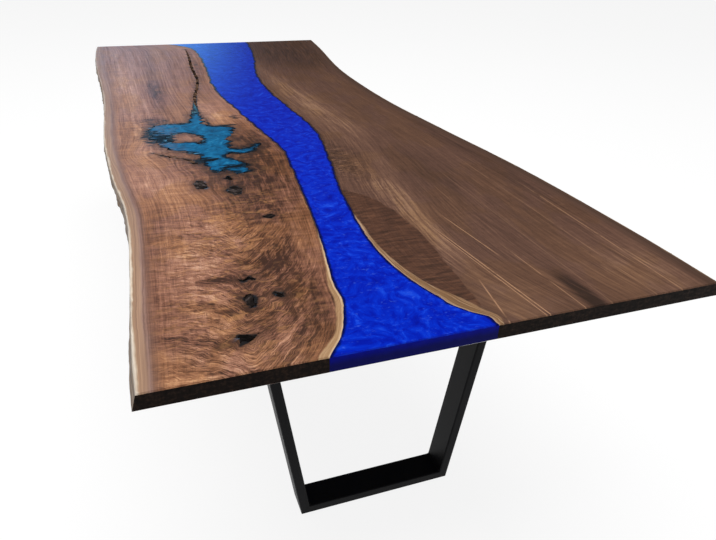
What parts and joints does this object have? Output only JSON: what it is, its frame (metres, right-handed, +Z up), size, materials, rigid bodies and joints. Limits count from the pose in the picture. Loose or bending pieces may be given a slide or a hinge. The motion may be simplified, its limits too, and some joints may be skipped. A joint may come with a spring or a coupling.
{
  "type": "live edge dining table",
  "caption": "River dining table: live edge walnut slabs either side of a blue resin river, on black steel trapezoid leg frames with levelling feet.",
  "frame": {"origin": "on the floor under the middle of the top", "axes": "+Y along the table from the near end to the far end, +X to the right seen from the near end, +Z up"},
  "size_m": [1.1399, 2.743, 0.762],
  "materials": {
    "walnut_left": "satin oil",
    "walnut_right": "satin oil",
    "river_resin": "gloss pearl",
    "pool_resin": "gloss pearl",
    "dark_resin": "gloss",
    "black_steel": "satin powder coat",
    "bolt_steel": "zinc plated",
    "insert_brass": "plain",
    "black_plastic": "moulded"
  },
  "bodies": {
    "table": {"left_slab": "walnut_left", "right_slab": "walnut_right", "river_casting": "river_resin", "pool_casting": "pool_resin", "crack_fills": "dark_resin", "knot_fills": "dark_resin", "near_mounting_plate": "black_steel", "near_left_post": "black_steel", "near_right_post": "black_steel", "near_foot_rail": "black_steel", "near_bolts": "bolt_steel", "near_washers": "bolt_steel", "near_wood_inserts": "insert_brass", "near_rivet_nuts": "bolt_steel", "far_mounting_plate": "black_steel", "far_left_post": "black_steel", "far_right_post": "black_steel", "far_foot_rail": "black_steel", "far_bolts": "bolt_steel", "far_washers": "bolt_steel", "far_wood_inserts": "insert_brass", "far_rivet_nuts": "bolt_steel"},
    "near_left_foot": {"near_left_foot_stud": "bolt_steel", "near_left_foot_pad": "black_plastic"},
    "near_right_foot": {"near_right_foot_stud": "bolt_steel", "near_right_foot_pad": "black_plastic"},
    "far_left_foot": {"far_left_foot_stud": "bolt_steel", "far_left_foot_pad": "black_plastic"},
    "far_right_foot": {"far_right_foot_stud": "bolt_steel", "far_right_foot_pad": "black_plastic"}
  },
  "joints": [
    {"name": "near_left_foot_screw", "type": "slide", "parent": "table", "child": "near_left_foot", "axis": [0, 0, 1], "range_m": [-0.012, 0]},
    {"name": "near_right_foot_screw", "type": "slide", "parent": "table", "child": "near_right_foot", "axis": [0, 0, 1], "range_m": [-0.012, 0]},
    {"name": "far_left_foot_screw", "type": "slide", "parent": "table", "child": "far_left_foot", "axis": [0, 0, 1], "range_m": [-0.012, 0]},
    {"name": "far_right_foot_screw", "type": "slide", "parent": "table", "child": "far_right_foot", "axis": [0, 0, 1], "range_m": [-0.012, 0]}
  ]
}
